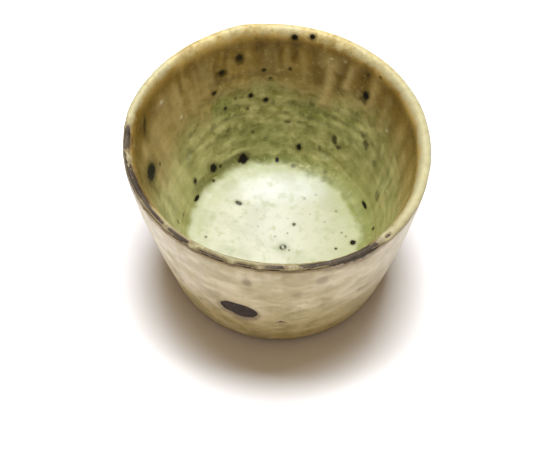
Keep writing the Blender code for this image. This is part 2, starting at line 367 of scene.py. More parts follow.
def shore(r, deg, ragged):
    """Share of pale glass at radius r, and the dark line outside its edge: painted shade in the corner where the wall
    meets the pool.
    """
    edge = table(SHORE, deg) + ragged
    crisp = step(100.0, 112.0, deg) * step(200.0, 175.0, deg)
    soft = 1.25 - 0.35 * crisp
    pale = step(edge + soft, edge - soft, r)
    gathered = step(100.0, 110.0, deg) * step(162.0, 148.0, deg)
    # painted shade in the corner of wall and pool, strongest at the back left
    line = np.exp(-(((r - edge - 1.1) / 0.95) ** 2)) * (0.12 + 0.88 * gathered) * np.clip(0.65 + 0.5 * ragged, 0.0, 1.0)
    return pale, line


def lip_bare(deg, w, wobble):
    """Below 1 on the lip's bare patches."""
    found = np.full(deg.shape, 9.0)
    for at, half, mid, wide in LIP_BARE:
        q = np.hypot(turn(deg, at) / half, (w - mid) / wide)
        found = np.minimum(found, q)
    return found + wobble


def drips(deg, d, table):
    """How far inside a run each point is: 1 on its middle, 0 outside it."""
    found = np.zeros(deg.shape)
    for at, start, end, wide, strength in table:
        lean = 0.6 * np.sin(d * 0.21 + at)
        side = turn(deg, at) * math.radians(1) * 37.0 + lean
        along = step(start - 1.5, start + 3.0, d) * step(end + 1.2, end - 1.2, d)
        swell = wide * (0.95 + 0.5 * step(start + 9.0, start, d) + 0.3 * step(end - 7.0, end - 0.5, d))
        found = np.maximum(found, strength * along * np.exp(-((side / swell) ** 2)))
    return found


def specks(a, b, table, scale=None):
    """Distance to the nearest speck over its radius, and that speck's darkness."""
    near, tone = np.full(a.shape, 4.0), np.zeros(a.shape)
    for row in table:
        if len(row) == 5:
            x = turn(a, row[0]) * math.radians(1) * scale
            y = (b - row[1]) / row[4]
        else:
            x, y = a - row[0], b - row[1]
        q = np.hypot(x, y) / row[2]
        closer = q < near
        near, tone = np.where(closer, q, near), np.where(closer, row[3], tone)
    return near, tone


def throwing_rings(angle, d):
    """Relief of the maker's fingers inside: a spiral of soft ridges, and the lip's fuller roll on one side, mm."""
    warp = field(angle, d, 30.0, 14.0, 301, 2)
    wave = np.sin(TAU * (d / 5.2 + angle / TAU + 0.75 * warp))
    loose = field(angle, d, 17.0, 4.0, 311, 3)
    shown = step(-0.55, 0.5, field(angle, d, 24.0, 9.0, 321, 2)) * (1 - 0.55 * step(0.55, 0.9, np.abs(np.cos(angle))))
    roll = 0.42 * step(-0.35, 0.35, np.cos(angle - math.radians(40.0))) * np.exp(-(((d - 3.0) / 3.0) ** 2))
    return (0.085 * wave * shown + 0.075 * loose) * step(7.0, 20.0, d) + roll


def outside_relief(angle, z):
    """Soft dents of the hand and faint turning lines outside, mm."""
    broad = field(angle, z, 24.0, 13.0, 401, 2)
    bands = field(angle, z, 70.0, 3.4, 411, 3)
    return 0.20 * broad + 0.035 * bands * step(36.0, 6.0, z) + 0.025 * bands


def tones(angle, d):
    """Fields that colour the glaze inside, by angle and mm past the crest."""
    wander = field(angle, d, 14.0, 9.0, 63, 2)
    sway = field(angle, d, 9.0, 6.0, 76, 2)
    round_side = np.abs(np.cos(angle))
    side = step(0.70, 0.96, round_side)  # the glaze lies in larger, calmer patches on the two sides

    def eased(fine, coarse):
        return fine + side * (coarse - fine)

    return {
        "wisp": eased(field(angle + 0.07 * wander, d, 6.0, 20.0, 61, 3, 0.45), field(angle, d, 15.0, 22.0, 64, 2, 0.4)),
        "thread": field(angle + 0.05 * wander, d, 2.2, 13.0, 66, 2) * (1 - 0.7 * side),
        "veil": field(angle, d, 10.0, 26.0, 71, 2),
        "blot": eased(field(angle + 0.05 * sway, d + 1.4 * sway, 6.4, 4.8, 91, 3, 0.5), field(angle, d + 1.4 * sway, 5.4, 14.0, 93, 2, 0.45)),
        "curd": eased(field(angle, d, 2.8, 2.2, 96, 2), field(angle, d, 3.2, 8.5, 98, 2, 0.4)),
        "arcs": field(angle, d + 0.8 * sway, 24.0, 3.2, 81, 2, 0.45) * (1 - 0.85 * step(0.35, 0.82, round_side)),
        "big": field(angle, d, 22.0, 14.0, 101, 2),
    }


def tone_marks(t, angle, d):
    return {
        "haze": 0.5 + 0.5 * (0.8 * t["wisp"] + 0.45 * t["veil"]),
        "blot": 0.5 + 0.5 * t["blot"],
        "curd": 0.5 + 0.5 * t["curd"],
        "arcs": 0.5 + 0.5 * t["arcs"],
        "big": 0.5 + 0.5 * t["big"],
        "depth": d,
        "flank": np.clip(np.abs(np.cos(angle)), 0, 1),
    }


def grid(d, cols):
    angle = np.arange(cols) * TAU / cols
    dd, aa = np.meshgrid(d, angle, indexing="ij")
    return dd, aa, np.degrees(aa)


# ---------------------------------------------------------------- inner coat
d, angle, deg = grid(np.linspace(-3.9, PATH_D[-1] - 3.2, 152), 648)
r, z, nr, nz = at_depth(d)
wob = field(angle, d, 3.2, 2.2, 51, 3)
nibble = field(angle, d, 1.5, 1.1, 57, 2)
t = tones(angle, d)
wisp, thread, veil, blot, curd, big = (t[k] for k in ("wisp", "thread", "veil", "blot", "curd", "big"))
relief = throwing_rings(angle, d)
run = drips(deg, d, RUNS)
dark_run = drips(deg, d, STREAKS)
bare = lip_bare(deg, d, 0.34 * wob + 0.22 * nibble)
near, tone = specks(deg, d, WALL_SPECKS, 36.0)
for at, down, (u1, v1), (u2, v2), dark in WALL_MARKS:
    u, v = turn(deg, at) * math.radians(1) * 36.0, d - down
    q = np.hypot(u * v2 - v * u2, v * u1 - u * v1) / abs(u1 * v2 - v1 * u2)
    tone = np.where(q < near, dark, tone)
    near = np.minimum(near, q)
stain = np.zeros_like(d)
for at, down, wide, strength in STAINS:
    q = np.hypot(turn(deg, at) * math.radians(1) * 35.0, d - down) / wide + 0.9 * curd
    stain = np.maximum(stain, strength * step(1.3, 0.5, q))
# blister shapes, used for their real relief and for a painted glint
blister_and_glint = np.zeros_like(d)
for at, down, wide in BLISTERS:
    q = np.hypot(turn(deg, at) * math.radians(1) * 37.0, d - down) / wide
    blister_and_glint = np.maximum(blister_and_glint, np.exp(-((q / 0.75) ** 2)))
scar = np.zeros_like(d)
for at, down, wide in SCARS:
    q = np.hypot(turn(deg, at) * math.radians(1) * 34.0, d - down) / wide + 0.6 * blot
    scar = np.maximum(scar, step(1.15, 0.7, q))

coat = COAT + 0.04 * blot + 0.05 * veil + 0.03 * wisp + 0.04 * curd * step(12.0, 20.0, d)
coat = coat + 0.20 * run - 0.05 * dark_run + 0.16 * blister_and_glint - 0.08 * scar
coat = coat + 0.08 * tone * step(1.25, 0.7, near)
laps = step(-3.3, -2.3, d + 0.5 * wob)
keep = laps * step(0.62, 1.45, bare)
coat = -0.12 + (coat + 0.12) * keep
skin = relief + coat - COAT
inner_points = place(r + nr * skin, z + nz * skin, angle)

edge_at = table(TIDE, deg) + 2.4 * wisp + 2.2 * thread + 1.2 * blot + 3.2 * run * step(8.0, 16.0, d)
back = step(40.0, 70.0, deg) * step(150.0, 125.0, deg)
arch = step(82.0, 92.0, deg) * step(128.0, 119.0, deg)
brown = step(edge_at + 7.5 - 4.0 * arch, edge_at - 7.5 + 1.5 * back + 2.5 * arch, d)
under_tide = np.exp(-(((d - edge_at - 1.2) / 1.0) ** 2)) * back * step(-0.3, 0.5, -big)
tide_rim = np.exp(-(((d - edge_at + 0.8) / 1.1) ** 2)) * back * step(-0.6, 0.4, big + 0.5 * arch)
scallop = field(angle, d * 0, 7.0, 9.0, 111, 3)
wide_lip = 1.4 * np.exp(-((turn(deg, 60.0) / 13.0) ** 2))
narrow = step(0.55, 0.95, -np.cos(angle))
cream = step(4.0, 0.4, d + 0.7 * narrow - 0.6 * wide_lip + 0.6 * scallop + 0.3 * wob + 0.5 * wisp)
fair = np.maximum(step(-0.1, 0.8, np.cos(angle + math.radians(20)) + 0.25 * scallop), np.maximum(0.8 * step(0.2, 0.8, -np.sin(angle)), 0.8 * narrow))
buff = step(7.4, 2.6, d + 1.3 * narrow - wide_lip + 1.0 * scallop + 0.4 * wob + 1.2 * wisp) * (1 - 0.15 * fair - 0.4 * narrow)
pale, line = shore(np.where(z < 13.5, r, 40.0), deg, 0.6 * blot)
inner = sheet(
    "cup_inner_glaze",
    inner_points,
    {
        "brown": brown,
        "tide_rim": tide_rim,
        "under_tide": under_tide,
        "cream": cream,
        "run": run,
        "dark_run": dark_run,
        "thread": 0.5 + 0.5 * thread,
        **tone_marks(t, angle, d),
        "speck": near,
        "tone": tone,
        "blister_and_glint": blister_and_glint,
        "scar": scar,
        "stain": stain,
        # paler streaks of glaze high on the left wall, made lighter still as painted light where the lamp falls on that
        # side
        "upper_left": step(120.0, 150.0, deg) * step(215.0, 180.0, deg) * step(6.5, 11.0, d + 1.6 * wisp) * (0.10 + 0.90 * step(-0.40, 0.35, wisp + 0.9 * thread)),
        "pale": pale,
        "line": line,
        "thin": 1 - step(0.85, 1.45, bare),
        # painted light: the left wall, which faces the lamp, made a little lighter
        "left": step(0.1, 0.9, -np.cos(angle) + 0.3 * big),
        "fair": fair,
        "front": step(0.55, 0.95, -np.sin(angle) + 0.15 * scallop),
        "buff": buff,
    },
)

# ---------------------------------------------------------------- outer coat
low = float(PATH_D[0])
d, angle, deg = grid(np.linspace(low + 0.9, -0.3, 138), 648)
r, z, nr, nz = at_depth(d)
wob = field(angle, d, 3.2, 2.2, 51, 3)
nibble = field(angle, d, 1.5, 1.1, 57, 2)
mottle = field(angle, d, 8.0, 6.0, 121, 3, 0.5)
bands = field(angle, d, 40.0, 4.5, 131, 2)
big = field(angle, d, 26.0, 20.0, 141, 2)
streak = field(angle, d, 3.5, 18.0, 151, 3)
relief = outside_relief(angle, z)
bare = lip_bare(deg, d, 0.34 * wob + 0.22 * nibble)
# one round bare mark low on the front, and a nick beside it
mark_x, mark_y = turn(deg, 252.4) * math.radians(1) * 38.1, z - 23.9
mark_turn = turn(np.degrees(np.arctan2(mark_y, mark_x)), 235.0)
mark = np.hypot(mark_x, mark_y * 1.05) / (6.0 - 1.2 * np.exp(-((mark_turn / 24.0) ** 2))) + 0.05 * wob
nick = np.hypot(turn(deg, 271.1) * math.radians(1) * 37.0 / 1.35, (z - 19.2) / 0.85) + 0.2 * wob
hole = np.minimum(mark, nick)
near, tone = specks(deg, z, (
    (271.1, 19.2, 1.0, 0.95, 0.6), (258.0, 46.2, 1.3, 0.35, 1.8), (286.1, 47.4, 1.6, 0.30, 1.8), (277.0, 40.0, 1.0, 0.2, 2.0), (305.0, 30.0, 0.8, 0.45, 1.5),
    (233.0, 20.0, 0.7, 0.4, 1.4), (311.0, 11.0, 0.7, 0.5, 1.2), (296.0, 7.5, 0.6, 0.5, 1.2), (20.0, 33.0, 0.9, 0.8, 1.2),
    (48.0, 18.0, 0.6, 0.7, 1.0), (77.0, 41.0, 1.1, 0.9, 1.3), (96.0, 24.0, 0.7, 0.8, 1.0), (118.0, 12.0, 0.8, 0.7, 1.0),
    (141.0, 37.0, 0.6, 0.8, 1.3), (160.0, 22.0, 1.0, 0.9, 1.1), (187.0, 30.0, 0.7, 0.6, 1.2), (204.0, 14.0, 0.8, 0.7, 1.0),
    (336.0, 27.0, 0.7, 0.6, 1.3), (352.0, 44.0, 0.6, 0.7, 1.2), (33.0, 47.0, 0.5, 0.6, 1.4), (128.0, 29.0, 0.5, 0.6, 1.0),
), 38.0)
coat = COAT - 0.02 + 0.05 * mottle + 0.06 * tone * step(1.3, 0.6, near)
wipe = step(1.4, 2.5, z + 0.45 * field(angle, d * 0, 9.0, 9.0, 161, 3))
top = step(-0.9, -1.9, d + 0.4 * wob)
keep = wipe * top * step(0.62, 1.45, bare) * step(0.86, 1.10, hole)
rim = np.exp(-(((hole - 1.22) / 0.16) ** 2)) + 0.3 * np.exp(-(((z - 3.1) / 0.9) ** 2))
coat = -0.12 + (coat + 0.08 * rim + 0.12) * keep
skin = relief + coat - COAT
outer = sheet(
    "cup_outer_glaze",
    place(r + nr * skin, z + nz * skin, angle),
    {
        "mottle": 0.5 + 0.5 * mottle,
        "bands": 0.5 + 0.5 * bands,
        "big": 0.5 + 0.5 * big,
        "streak": 0.5 + 0.5 * streak,
        "height": z,
        # painted reflection: pale pinkish sheen on the front left and right, where the glossy glaze would mirror the
        # bright surroundings
        "painted_sheen": (np.exp(-((turn(deg, 229.0) / 13.0) ** 2)) * step(16.0, 34.0, z) + 0.3 * np.exp(-((turn(deg, 314.0) / 10.0) ** 2)) * step(24.0, 40.0, z)) * step(-0.7, 0.5, streak + 0.6 * mottle),
        "past": d,
        "toward_right": np.exp(-((turn(deg, 324.0) / 24.0) ** 2)),
        "speck": near,
        "tone": tone,
        "thin": np.maximum(1 - step(0.8, 1.9, bare), np.maximum(1 - step(0.95, 1.3, hole), 1 - step(2.0, 4.2, z + 0.6 * wob))),
    },
)

# ---------------------------------------------------------------- clay
OUT_START = 2.0  # the turned foot meets the wall here


def soften(line, times):
    for _ in range(times):
        a, b = line[:-1], line[1:]
        mid = np.empty((2 * len(a), 2))
        mid[0::2], mid[1::2] = 0.75 * a + 0.25 * b, 0.25 * a + 0.75 * b
        line = np.concatenate([line[:1], mid, line[-1:]])
    return line


first = np.interp(OUT_START, PATH_Z[:400], PATH_D[:400])
dd = np.linspace(first, PATH_D[-1] - 0.2, 400)
r, z, nr, nz = at_depth(dd)
wall = np.stack([r - COAT * nr, z - COAT * nz], 1)
foot = soften(
    np.array([(0.4, 2.85), (12.0, 2.8), (23.6, 2.6), (25.7, 1.9), (26.6, 0.5), (27.2, 0.0), (29.0, 0.0), (31.0, 0.0), (31.6, 0.5), (31.85, 1.2), tuple(wall[0])]), 3
)
floor_line = np.stack([np.linspace(wall[-1, 0], 0.4, 30)[1:], np.linspace(wall[-1, 1], 6.2, 30)[1:]], 1)
line = np.concatenate([foot[:-1], wall, floor_line])
depth = np.concatenate([np.full(len(foot) - 1, np.nan), dd, np.full(len(floor_line), np.nan)])
s = np.concatenate([[0], np.cumsum(np.hypot(*np.diff(line, axis=0).T))])
want = np.concatenate([np.linspace(0, s[len(foot)], 76)[:-1], np.linspace(s[len(foot)], s[-31], 150)[:-1], np.linspace(s[-31], s[-1], 12)])
lr, lz = np.interp(want, s, line[:, 0]), np.interp(want, s, line[:, 1])
ld = np.interp(want, s[~np.isnan(depth)], depth[~np.isnan(depth)])
e = 0.2
tr = np.interp(want + e, s, line[:, 0]) - np.interp(want - e, s, line[:, 0])
tz = np.interp(want + e, s, line[:, 1]) - np.interp(want - e, s, line[:, 1])
tn = np.maximum(np.hypot(tr, tz), 1e-6)
cols = 400
angle = np.arange(cols) * TAU / cols
R, A = np.meshgrid(lr, angle, indexing="ij")
Z, _ = np.meshgrid(lz, angle, indexing="ij")
Dp, _ = np.meshgrid(ld, angle, indexing="ij")
NR, _ = np.meshgrid(tz / tn, angle, indexing="ij")
NZ, _ = np.meshgrid(-tr / tn, angle, indexing="ij")
below = want < s[len(foot) - 6]
BELOW, _ = np.meshgrid(below.astype(float), angle, indexing="ij")
spiral = np.sin(TAU * (R / 2.3 + A / TAU) + 1.3 * flat_field(R * np.cos(A), R * np.sin(A), 18.0, 501, 2))
chatter = flat_field(R * np.cos(A), R * np.sin(A), 3.0, 511, 3)
under = (0.07 * spiral + 0.05 * chatter) * step(26.0, 24.0, R)
up_relief = np.where(Dp < 0, outside_relief(A, Z), throwing_rings(A, Dp))
up_relief = up_relief * step(first, first + 4.0, Dp)
move = np.where(BELOW > 0.5, under, up_relief)
grain = field(A, Dp + Z, 1.6, 1.6, 521, 3) * np.where(Z < 0.05, 0.0, 0.03)
clay = sheet(
    "cup_clay_body",
    place(R + NR * (move + grain), np.maximum(Z + NZ * (move + grain), 0.0), A),
    {
        "under": BELOW,
        "spiral": 0.5 + 0.5 * spiral,
        "toast": step(1.0, 4.5, Z) * step(9.0, 4.5, Z),
        "lip": step(44.0, 50.0, Z),
        "radius": R,
    },
    close=True,
)

# ---------------------------------------------------------------- pool
# The glass lies a little dished and turns up the wall in a round meniscus that ends flush with the wall.
LOW, BEND = POOL_LEVEL + 0.45, 4.0  # foot of the meniscus and its radius
reach = CORNER_R - SKIN
across = math.sqrt((reach - BEND) ** 2 - (CORNER_AT[1] - LOW - BEND) ** 2)
bend_r = CORNER_AT[0] + across
flush = math.atan2(LOW + BEND - CORNER_AT[1], across)  # where it meets the corner of the well
last_turn, first_turn = math.pi / 2 + flush, math.radians(8.77)
curve = 729.0 * math.tan(first_turn) / (2 * (bend_r + BEND * math.sin(first_turn)))
turns = np.linspace(last_turn, first_turn, 34)
rim_r, rim_z = bend_r + BEND * np.sin(turns), LOW + BEND * (1 - np.cos(turns))
flat_r = np.linspace(rim_r[-1], 0.3, 80)[1:]
flat_z = rim_z[-1] - curve * (rim_r[-1] ** 2 - flat_r**2) / 729.0
line_r, line_z = np.concatenate([rim_r, flat_r]), np.concatenate([rim_z, flat_z])
line_d = PATH_D[-1] - reach * last_turn + np.concatenate([[0], np.cumsum(np.hypot(np.diff(line_r), np.diff(line_z)))])
tilt = np.concatenate([turns, np.arctan(2 * curve * flat_r / 729.0)])
lit = 0.9 + 0.85 * (np.cos(tilt) - math.cos(last_turn)) / (1 - math.cos(last_turn))  # more light falls on it as it levels out
bury = np.concatenate([0.16 * step(0.75 * last_turn, last_turn, turns), np.zeros(len(flat_r))])
cols = 420
angle = np.arange(cols) * TAU / cols
R, A = np.meshgrid(line_r, angle, indexing="ij")
Z, _ = np.meshgrid(line_z, angle, indexing="ij")
D, _ = np.meshgrid(line_d, angle, indexing="ij")
OUT, _ = np.meshgrid(bury, angle, indexing="ij")
# painted shade: how much to darken the glass where it levels out and more light falls on it, so that it renders as dark
# as the wall
PAINTED_SHADE, _ = np.meshgrid((1 - 0.9 / lit) / (1 - 0.9 / 1.75), angle, indexing="ij")
X, Y = R * np.cos(A), R * np.sin(A)
inside = step(26.5, 22.5, R)
swell = flat_field(X, Y, 12.0, 601, 2)
fine = flat_field(X, Y, 2.6, 611, 3)
t = tones(A, D)
near, tone = specks(X, Y, POOL_SPECKS)
wall_near, wall_tone = specks(np.degrees(A), D, WALL_SPECKS, 27.5)
wall_near = np.where(R > 23.0, wall_near, 4.0)
tone = np.where(wall_near < near, wall_tone, tone)
near = np.minimum(near, wall_near)
bub = np.hypot(X - POOL_BUBBLE[0], Y - POOL_BUBBLE[1]) / POOL_BUBBLE[2]
crater = 0.05 * np.exp(-(((bub - 1.0) / 0.30) ** 2)) - 0.02 * np.exp(-((bub / 0.6) ** 2))
level = Z + (0.012 * swell + 0.003 * fine) * inside + crater
points = np.stack([(R + OUT) * np.cos(A), (R + OUT) * np.sin(A), level], -1) * MM
edge_n = flat_field(X, Y, 5.0, 621, 3)
ragged = 0.6 * t["blot"] + 1.5 * flat_field(X, Y, 3.6, 641, 3, 0.6) * step(28.4, 26.5, R)
shore_pale, shore_line = shore(R, np.degrees(A), ragged)
pool = disc(
    "cup_glaze_pool",
    points,
    np.array([0, 0, line_z[-1]]) * MM,
    {
        **tone_marks(t, A, D),
        "pale": shore_pale,
        "line": shore_line,
        "rim": step(17.5, 26.5, R + 2.0 * edge_n) * (0.55 + 0.45 * np.exp(-((turn(np.degrees(A), 88.0) / 42.0) ** 2))),
        "cloud": 0.5 + 0.5 * swell,
        "wash": 0.5 + 0.5 * flat_field(X, Y, 7.0, 631, 4, 0.6),
        # painted light: a soft brighter patch on the middle of the pool, where most light falls
        "painted_light": np.exp(-(((X - 1.0) / 16.0) ** 2 + ((Y - 3.0) / 14.0) ** 2)),
        "right": step(-5.0, 24.0, X),
        "turned": step(23.8, 26.0, R),
        "painted_shade": PAINTED_SHADE,
        "speck": near,
        "tone": tone,
        "ring": np.exp(-(((bub - 0.78) / 0.40) ** 2)) * (0.75 + 0.25 * np.sin(2.0 * np.arctan2(Y - POOL_BUBBLE[1], X - POOL_BUBBLE[0]) + 0.8)),
        "cup": step(3.4, 0.6, bub + 0.5 * edge_n),
    },
    {"pale": 1.0, "speck": 4.0, "cloud": 0.5, "wash": 0.5, "painted_light": 0.9, "right": 0.1},
)

# ---------------------------------------------------------------- materials


def linear(r, g, b):
    def one(v):
        v /= 255.0
        return v / 12.92 if v <= 0.04045 else ((v + 0.055) / 1.055) ** 2.4

    return (one(r), one(g), one(b), 1.0)


class Surface:
    """A node material around one Principled shader."""

    def __init__(self, name):
        self.made = bpy.data.materials.new(name)
        self.made.use_nodes = True
        self.tree = self.made.node_tree
        self.shader = self.tree.nodes["Principled BSDF"]
        self.where = self.tree.nodes.new("ShaderNodeTexCoord").outputs["Object"]

    def node(self, kind, **settings):
        made = self.tree.nodes.new(kind)
        for key, value in settings.items():
            setattr(made, key, value)
        return made

    def feed(self, socket, value):
        if isinstance(value, bpy.types.NodeSocket):
            self.tree.links.new(value, socket)
        else:
            socket.default_value = value

    def mark(self, name):
        return self.node("ShaderNodeAttribute", attribute_name=name).outputs["Fac"]

    def noise(self, size_mm, detail=3.0, rough=0.55, stretch=None, warp=0.0):
        n = self.node("ShaderNodeTexNoise")
        n.inputs["Scale"].default_value = 1000.0 / size_mm
        n.inputs["Detail"].default_value = detail
        n.inputs["Roughness"].default_value = rough
        n.inputs["Distortion"].default_value = warp
        where = self.where
        if stretch:
            m = self.node("ShaderNodeMapping")
            m.inputs["Scale"].default_value = stretch
            self.tree.links.new(where, m.inputs["Vector"])
            where = m.outputs["Vector"]
        self.tree.links.new(where, n.inputs["Vector"])
        return n.outputs["Fac"]

    def cells(self, size_mm, feature="F1", spread=1.0):
        v = self.node("ShaderNodeTexVoronoi", feature=feature)
        v.inputs["Scale"].default_value = 1000.0 / size_mm
        v.inputs["Randomness"].default_value = spread
        self.tree.links.new(self.where, v.inputs["Vector"])
        return v

    def span(self, value, a, b, low=0.0, high=1.0, soft=True):
        m = self.node("ShaderNodeMapRange", interpolation_type="SMOOTHSTEP" if soft else "LINEAR")
        self.feed(m.inputs["Value"], value)
        for key, v in (("From Min", a), ("From Max", b), ("To Min", low), ("To Max", high)):
            self.feed(m.inputs[key], v)
        return m.outputs["Result"]

    def math(self, op, a, b=0.0, clamp=False):
        m = self.node("ShaderNodeMath", operation=op, use_clamp=clamp)
        self.feed(m.inputs[0], a)
        self.feed(m.inputs[1], b)
        return m.outputs[0]

    def mix(self, share, a, b, how="MIX"):
        m = self.node("ShaderNodeMix", data_type="RGBA", blend_type=how)
        m.clamp_factor = True
        self.feed(m.inputs[0], share)
        self.feed(m.inputs[6], a)
        self.feed(m.inputs[7], b)
        return m.outputs[2]

    def bump(self, *layers):
        """layers are (height, depth in mm)."""
        normal = None
        for height, deep in layers:
            b = self.node("ShaderNodeBump")
            b.inputs["Strength"].default_value = 1.0
            b.inputs["Distance"].default_value = deep * MM
            self.tree.links.new(height, b.inputs["Height"])
            if normal:
                self.tree.links.new(normal, b.inputs["Normal"])
            normal = b.outputs["Normal"]
        self.tree.links.new(normal, self.shader.inputs["Normal"])

    def done(self, colour, roughness, ior=1.5):
        self.tree.links.new(colour, self.shader.inputs["Base Color"])
        self.tree.links.new(roughness, self.shader.inputs["Roughness"])
        self.shader.inputs["IOR"].default_value = ior
        return self.made


def speck_mask(m, soft=0.35):
    """Dark heart and brown halo of the iron specks, with ragged edges."""
    ragged = m.math("MULTIPLY_ADD", m.noise(0.7, 3.0, 0.6), 0.9)
    ragged.node.inputs[2].default_value = -0.45
    q = m.math("ADD", m.mark("speck"), ragged)
    heart = m.math("MULTIPLY", m.span(q, 1.0 + soft * 0.6, 1.0 - soft), m.mark("tone"))
    halo = m.math("MULTIPLY", m.span(q, 2.1, 0.9), m.mark("tone"))
    return heart, halo


def olive_tone(m):
    """The green glaze of the lower wall."""
    depth = m.mark("depth")
    olive = m.mix(m.span(m.mark("blot"), 0.26, 0.74), linear(130, 126, 66), linear(174, 170, 110))
    for mark, share, light, deep in (("blot", 0.50, 0.57, 0.80), ("arcs", 0.50, 0.56, 0.80), ("curd", 0.56, 0.56, 0.80)):
        calm = m.span(m.mark("flank"), 0.6, 1.0, share, 1.15 * share)
        olive = m.mix(m.math("MULTIPLY", m.span(m.mark(mark), light, deep), calm), olive, linear(196, 189, 132))
        olive = m.mix(m.math("MULTIPLY", m.span(m.mark(mark), 1 - light, 1 - deep), calm), olive, linear(98, 97, 42))
    green = m.math("MULTIPLY", m.span(m.mark("big"), 0.40, 0.72), m.span(depth, 14.0, 26.0))
    olive = m.mix(m.math("MULTIPLY", green, 0.38), olive, linear(126, 134, 74))
    olive = m.mix(m.math("MULTIPLY", m.span(depth, 28.0, 46.0), m.span(m.mark("flank"), 0.5, 1.0, 0.35, 0.62)), olive, m.mix(m.mark("flank"), linear(150, 154, 94), linear(168, 165, 104)))
    return m.mix(m.math("MULTIPLY", m.math("MULTIPLY", m.mark("flank"), m.span(m.mark("haze"), 0.50, 0.80)), 0.35), olive, linear(168, 156, 98))


def crumbled(m, colour):
    """Fine light and dark grain of an ash glaze."""
    crumb = m.noise(1.7, 5.0, 0.66, warp=0.4)
    calm = m.span(m.mark("flank"), 0.45, 1.0, 1.0, 0.45)
    colour = m.mix(m.math("MULTIPLY", m.span(crumb, 0.53, 0.70, 0.0, 0.30), calm), colour, linear(206, 196, 142))
    return m.mix(m.math("MULTIPLY", m.span(crumb, 0.46, 0.28, 0.0, 0.40), calm), colour, linear(74, 64, 20))


# inside
m = Surface("olive_ash_glaze")
depth = m.mark("depth")
grain = m.noise(1.1, 4.0, 0.6)
fleck = m.noise(3.0, 4.0, 0.6, warp=0.6)
olive = olive_tone(m)
tan = m.mix(m.span(m.mark("haze"), 0.16, 0.74), linear(88, 64, 9), linear(150, 124, 60))
tan = m.mix(m.math("MULTIPLY", m.span(m.mark("thread"), 0.46, 0.18), 0.50), tan, linear(80, 57, 14))
tan = m.mix(m.math("MULTIPLY", m.span(m.mark("thread"), 0.54, 0.82), m.span(depth, 4.0, 12.0, 0.15, 0.55)), tan, linear(172, 149, 92))
# painted light: lighten the left wall, which faces the lamp
tan = m.mix(m.math("MULTIPLY", m.mark("left"), 0.10), tan, linear(150, 124, 64))
# paler glaze streaks on the upper left wall, partly painted light on the side facing the lamp
tan = m.mix(m.math("MULTIPLY", m.mark("upper_left"), 0.66), tan, linear(180, 162, 108))
tan = m.mix(m.math("MULTIPLY", m.span(depth, 6.0, 18.0), 0.45), tan, linear(158, 138, 80))
tan = m.mix(m.math("MULTIPLY", m.span(m.mark("blot"), 0.55, 0.85), 0.3), tan, linear(170, 148, 94))
colour = m.mix(m.mark("brown"), olive, tan)
colour = m.mix(m.math("MULTIPLY", m.mark("tide_rim"), 0.5), colour, linear(176, 156, 100))
colour = m.mix(m.math("MULTIPLY", m.mark("under_tide"), 0.45), colour, linear(92, 84, 34))
colour = m.mix(m.math("MULTIPLY", m.mark("dark_run"), 0.6), colour, linear(84, 60, 14))
colour = m.mix(m.math("MULTIPLY", m.mark("run"), 0.85), colour, linear(188, 168, 114))
colour = m.mix(m.math("MULTIPLY", m.mark("stain"), 1.0), colour, linear(46, 43, 8))
colour = m.mix(m.math("MULTIPLY", m.mark("scar"), 0.32), colour, linear(176, 178, 138))
# painted shade in the corner where the wall meets the pool
colour = m.mix(m.math("MULTIPLY", m.mark("line"), 0.85), colour, linear(66, 68, 22))
colour = m.mix(m.mark("pale"), colour, linear(158, 160, 124))
lip_tone = m.mix(m.span(m.noise(2.4, 4.0, 0.62), 0.30, 0.70), linear(152, 131, 78), linear(192, 176, 124))
lip_tone = m.mix(m.math("MULTIPLY", m.span(m.noise(7.0, 3.0), 0.40, 0.62), 0.5), lip_tone, linear(178, 172, 136))
lip_tone = m.mix(m.math("MULTIPLY", m.mark("fair"), 0.7), lip_tone, linear(153, 149, 117))
lip_tone = m.mix(m.math("MULTIPLY", m.mark("front"), 0.75), lip_tone, linear(124, 116, 84))
ragged = m.math("ADD", m.mark("cream"), m.span(m.noise(1.8, 4.0, 0.62), 0.2, 0.8, -0.2, 0.2))
colour = m.mix(m.math("MULTIPLY", m.mark("buff"), 0.8), colour, m.mix(m.span(m.mark("haze"), 0.25, 0.75), linear(143, 113, 48), linear(180, 151, 86)))
colour = m.mix(m.span(ragged, 0.05, 1.0), colour, lip_tone)
colour = m.mix(m.math("MULTIPLY", m.mark("thin"), 0.65), colour, linear(96, 78, 56))
colour = crumbled(m, colour)
heart, halo = speck_mask(m)
colour = m.mix(m.math("MULTIPLY", halo, 0.55), colour, linear(70, 56, 14))
colour = m.mix(heart, colour, linear(14, 11, 5))
dots = m.cells(2.1)
dot = m.span(dots.outputs["Distance"], 0.10, 0.05)
dot = m.math("MULTIPLY", dot, m.span(m.noise(6.0, 1.0), 0.55, 0.65))
colour = m.mix(m.math("MULTIPLY", dot, 0.6), colour, linear(52, 42, 14))
# painted highlight: a pale spot on each blister stands in for the glint of light on it
colour = m.mix(m.math("MULTIPLY", m.mark("blister_and_glint"), 0.5), colour, linear(232, 226, 200))
pits = m.cells(0.9)
pit = m.span(pits.outputs["Distance"], 0.16, 0.04)
m.bump((grain, 0.04), (m.noise(0.45, 2.0), 0.010), (pit, -0.02))
rough = m.math("MAXIMUM", m.span(fleck, 0.3, 0.75, 0.18, 0.34), m.math("MULTIPLY", m.math("MAXIMUM", m.mark("cream"), heart), 0.48))
m.shader.inputs["Specular IOR Level"].default_value = 0.16
inner.data.materials.append(m.done(colour, rough, 1.5))

# pool
m = Surface("pooled_glass")
pale = m.mix(m.span(m.mark("wash"), 0.30, 0.75), linear(153, 152, 125), linear(174, 172, 147))
pale = m.mix(m.math("MULTIPLY", m.span(m.mark("cloud"), 0.35, 0.8), 0.45), pale, linear(181, 179, 156))
veil = m.noise(3.4, 4.0, 0.6, warp=0.2)
